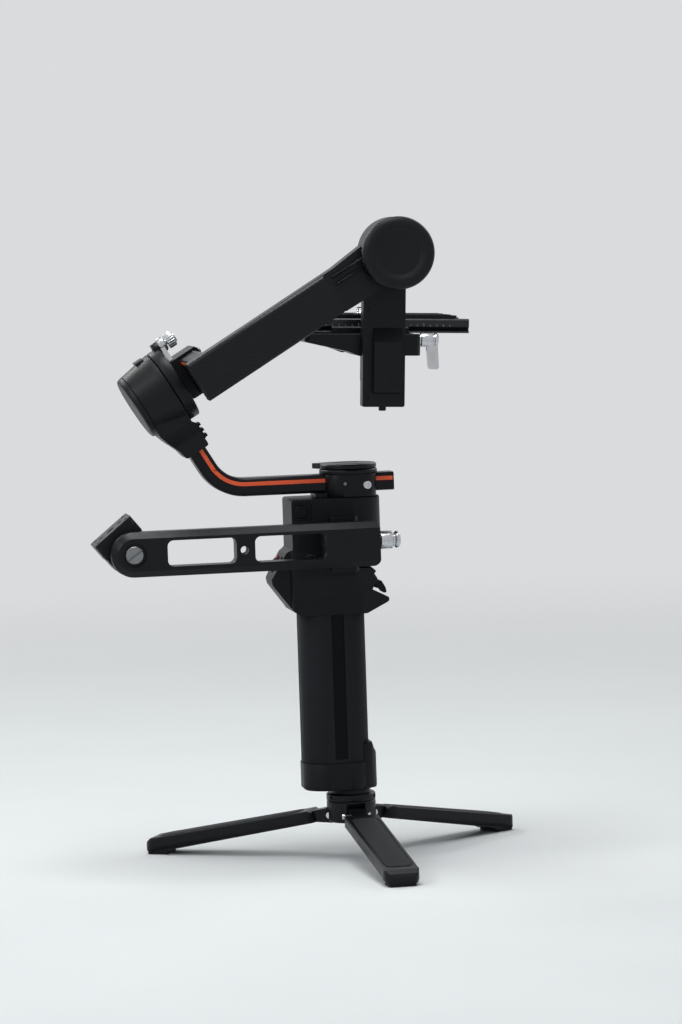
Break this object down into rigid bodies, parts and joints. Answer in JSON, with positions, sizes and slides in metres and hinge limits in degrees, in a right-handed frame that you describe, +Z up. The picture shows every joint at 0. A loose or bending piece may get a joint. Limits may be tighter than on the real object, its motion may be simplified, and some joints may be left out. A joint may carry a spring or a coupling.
{
  "type": "gimbal stabilizer",
  "caption": "Handheld camera gimbal with a grip on a folding tripod, pan, roll and tilt motors on slanted arms, a sliding camera plate and a clamped side arm",
  "frame": {"origin": "on the ground under the middle of the whole object's box, with the legs spread", "axes": "+Z up; +X the way the camera looks, along the camera plates; +Y to the camera's left, away from the roll arm"},
  "size_m": [0.3375, 0.262, 0.4872],
  "materials": {
    "black_paint": "black anodised, satin",
    "dark_plastic": "fine moulded texture",
    "red_plastic": "smooth",
    "soft_rubber": "matt, fine grain",
    "bright_steel": "turned",
    "winding_copper": "enamelled windings",
    "accent_paint": "satin orange-red",
    "carbon_weave": "woven carbon fibre under clear coat",
    "screen_glass": "gloss, display off",
    "cell_wrap": "shrink wrap",
    "board_green": "solder mask"
  },
  "bodies": {
    "handle": {"tripod_hub": "black_paint", "hub_screw": "bright_steel", "leg_pins": "bright_steel", "grip_base": "dark_plastic", "grip_shell": "dark_plastic", "grip_panels": "soft_rubber", "battery_cells": "cell_wrap", "body_shell": "dark_plastic", "body_cover": "dark_plastic", "touchscreen": "screen_glass", "main_board": "board_green", "accessory_rails": "black_paint", "pan_stator": "winding_copper", "pan_bearings": "bright_steel"},
    "leg_front_body": {"leg_front": "black_paint", "foot_pads_front": "soft_rubber"},
    "leg_left_body": {"leg_left": "black_paint", "foot_pads_left": "soft_rubber"},
    "leg_right_body": {"leg_right": "black_paint", "foot_pads_right": "soft_rubber"},
    "grip_lock_body": {"grip_lock": "dark_plastic"},
    "dial_body": {"front_dial": "dark_plastic"},
    "trigger_body": {"trigger": "dark_plastic"},
    "joystick_yaw": {"joystick_gimbal": "bright_steel"},
    "joystick_stick": {"joystick_cap": "soft_rubber"},
    "mode_button_body": {"mode_button": "dark_plastic"},
    "record_button_body": {"record_button": "red_plastic"},
    "power_button_body": {"power_button": "dark_plastic"},
    "pan_head": {"pan_rotor": "bright_steel", "pan_clamp": "black_paint"},
    "pan_lever_body": {"pan_lever": "black_paint"},
    "pan_arm_body": {"pan_arm": "black_paint", "arm_stripes": "accent_paint", "roll_housing": "black_paint", "roll_cap": "black_paint", "roll_stator": "winding_copper", "roll_bearings": "bright_steel"},
    "roll_lock_body": {"roll_lock": "dark_plastic"},
    "roll_head": {"roll_rotor": "bright_steel", "roll_clamp": "black_paint"},
    "roll_knob_body": {"roll_knob": "bright_steel"},
    "roll_arm": {"roll_bar": "black_paint", "roll_tube": "carbon_weave", "tilt_housing": "black_paint", "tilt_cap": "black_paint", "tilt_stator": "winding_copper", "tilt_bearings": "bright_steel"},
    "tilt_head": {"tilt_rotor": "bright_steel", "tilt_column": "black_paint"},
    "carrier_body": {"carrier": "black_paint"},
    "column_lever_body": {"column_lever": "black_paint"},
    "plate_jaw_body": {"plate_jaw": "black_paint"},
    "plate_lever_body": {"plate_lever": "bright_steel"},
    "lower_plate_body": {"lower_plate": "black_paint"},
    "plate_latch_body": {"plate_latch": "bright_steel"},
    "upper_plate_body": {"upper_plate": "black_paint"},
    "side_arm_body": {"side_arm": "black_paint"},
    "clamp_jaw_body": {"clamp_jaw": "black_paint"},
    "clamp_knob_body": {"clamp_knob": "bright_steel"},
    "end_block_body": {"end_block": "black_paint"}
  },
  "joints": [
    {"name": "leg_front_fold", "type": "hinge", "parent": "handle", "child": "leg_front_body", "pos_m": [0.02691, 0.01912, 0.032], "axis": [0.9988, 0.0489, 0], "range_deg": [0, 78]},
    {"name": "leg_left_fold", "type": "hinge", "parent": "handle", "child": "leg_left_body", "pos_m": [0.03839, 0.04145, 0.032], "axis": [-0.5417, 0.8406, 0], "range_deg": [0, 78]},
    {"name": "leg_right_fold", "type": "hinge", "parent": "handle", "child": "leg_right_body", "pos_m": [0.0133, 0.04023, 0.032], "axis": [-0.4571, -0.8894, 0], "range_deg": [0, 78]},
    {"name": "grip_lock_slide", "type": "slide", "parent": "handle", "child": "grip_lock_body", "axis": [1, 0, 0], "range_m": [0, 0.006]},
    {"name": "dial_turn", "type": "hinge", "parent": "handle", "child": "dial_body", "pos_m": [0.0432, 0.0336, 0.2195], "axis": [0.6157, 0, 0.788], "continuous": true},
    {"name": "trigger_pull", "type": "hinge", "parent": "handle", "child": "trigger_body", "pos_m": [0.0497, 0.0336, 0.2082], "axis": [0, 1, 0], "range_deg": [0, 8], "stiffness_Nm_per_rad": 0.05},
    {"name": "joystick_side", "type": "hinge", "parent": "handle", "child": "joystick_yaw", "pos_m": [-0.02387, 0.0336, 0.2244], "axis": [0.5, 0, 0.866], "range_deg": [-12, 12], "stiffness_Nm_per_rad": 0.02},
    {"name": "joystick_updown", "type": "hinge", "parent": "joystick_yaw", "child": "joystick_stick", "pos_m": [-0.02387, 0.0336, 0.2244], "axis": [0, 1, 0], "range_deg": [-12, 12], "stiffness_Nm_per_rad": 0.02},
    {"name": "mode_button_press", "type": "slide", "parent": "handle", "child": "mode_button_body", "axis": [0.866, 0, -0.5], "range_m": [0, 0.0008], "stiffness_N_per_m": 400},
    {"name": "record_button_press", "type": "slide", "parent": "handle", "child": "record_button_body", "axis": [0.866, 0, -0.5], "range_m": [0, 0.0008], "stiffness_N_per_m": 400},
    {"name": "power_button_press", "type": "slide", "parent": "handle", "child": "power_button_body", "axis": [0, 1, 0], "range_m": [0, 0.0005], "stiffness_N_per_m": 400},
    {"name": "pan", "type": "hinge", "parent": "handle", "child": "pan_head", "pos_m": [0.0322, 0.0336, 0.276], "axis": [0, 0, 1], "continuous": true},
    {"name": "pan_lever_turn", "type": "hinge", "parent": "pan_head", "child": "pan_lever_body", "pos_m": [0.0322, 0.0336, 0.298], "axis": [0, 0, 1], "range_deg": [0, 100]},
    {"name": "pan_arm_slide", "type": "slide", "parent": "pan_head", "child": "pan_arm_body", "axis": [1, 0, 0], "range_m": [-0.014, 0.024]},
    {"name": "roll_lock_slide", "type": "slide", "parent": "pan_arm_body", "child": "roll_lock_body", "axis": [-0.515, 0, 0.8572], "range_m": [0, 0.003]},
    {"name": "roll", "type": "hinge", "parent": "pan_arm_body", "child": "roll_head", "pos_m": [0.0578, 0.0336, 0.4602], "axis": [0.8572, 0, 0.515], "range_deg": [-95, 240]},
    {"name": "roll_knob_turn", "type": "hinge", "parent": "roll_head", "child": "roll_knob_body", "pos_m": [-0.10483, 0.0336, 0.3969], "axis": [-0.8572, 0, -0.515], "range_deg": [0, 90]},
    {"name": "roll_arm_slide", "type": "slide", "parent": "roll_head", "child": "roll_arm", "axis": [0, 1, 0], "range_m": [-0.012, 0.01]},
    {"name": "tilt", "type": "hinge", "parent": "roll_arm", "child": "tilt_head", "pos_m": [0.0578, -0.0264, 0.4602], "axis": [0, 1, 0], "range_deg": [-112, 214]},
    {"name": "carrier_slide", "type": "slide", "parent": "tilt_head", "child": "carrier_body", "axis": [0.0436, 0, 0.999], "range_m": [-0.012, 0.018]},
    {"name": "column_lever_turn", "type": "hinge", "parent": "carrier_body", "child": "column_lever_body", "pos_m": [0.05039, -0.0104, 0.37074], "axis": [0, 1, 0], "range_deg": [0, 90]},
    {"name": "plate_lever_turn", "type": "hinge", "parent": "carrier_body", "child": "plate_lever_body", "pos_m": [0.08628, 0.0034, 0.39269], "axis": [-0.999, 0, 0.0436], "range_deg": [0, 90]},
    {"name": "plate_jaw_slide", "type": "slide", "parent": "carrier_body", "child": "plate_jaw_body", "axis": [0, -1, 0], "range_m": [0, 0.002]},
    {"name": "lower_plate_slide", "type": "slide", "parent": "carrier_body", "child": "lower_plate_body", "axis": [0.999, 0, -0.0436], "range_m": [-0.03, 0.03]},
    {"name": "plate_latch_turn", "type": "hinge", "parent": "lower_plate_body", "child": "plate_latch_body", "pos_m": [0.08585, 0.0593, 0.40562], "axis": [0, -1, 0], "range_deg": [0, 90]},
    {"name": "upper_plate_slide", "type": "slide", "parent": "lower_plate_body", "child": "upper_plate_body", "axis": [0.999, 0, -0.0436], "range_m": [-0.02, 0.02]},
    {"name": "side_arm_slide", "type": "slide", "parent": "handle", "child": "side_arm_body", "axis": [0, 0, 1], "range_m": [-0.004, 0.004]},
    {"name": "clamp_knob_turn", "type": "hinge", "parent": "side_arm_body", "child": "clamp_knob_body", "pos_m": [0.0262, -0.0074, 0.244], "axis": [1, 0, 0], "range_deg": [0, 350]},
    {"name": "clamp_jaw_slide", "type": "slide", "parent": "side_arm_body", "child": "clamp_jaw_body", "axis": [1, 0, 0], "range_m": [0, 0.0019]},
    {"name": "end_block_turn", "type": "hinge", "parent": "side_arm_body", "child": "end_block_body", "pos_m": [-0.1411, 0.0016, 0.243], "axis": [0, 1, 0], "range_deg": [-90, 90]}
  ],
  "couplings": [
    {"joint": "plate_lever_turn", "follows": "plate_jaw_slide", "rad_per_m": 785.39},
    {"joint": "clamp_knob_turn", "follows": "clamp_jaw_slide", "rad_per_m": 3215}
  ]
}
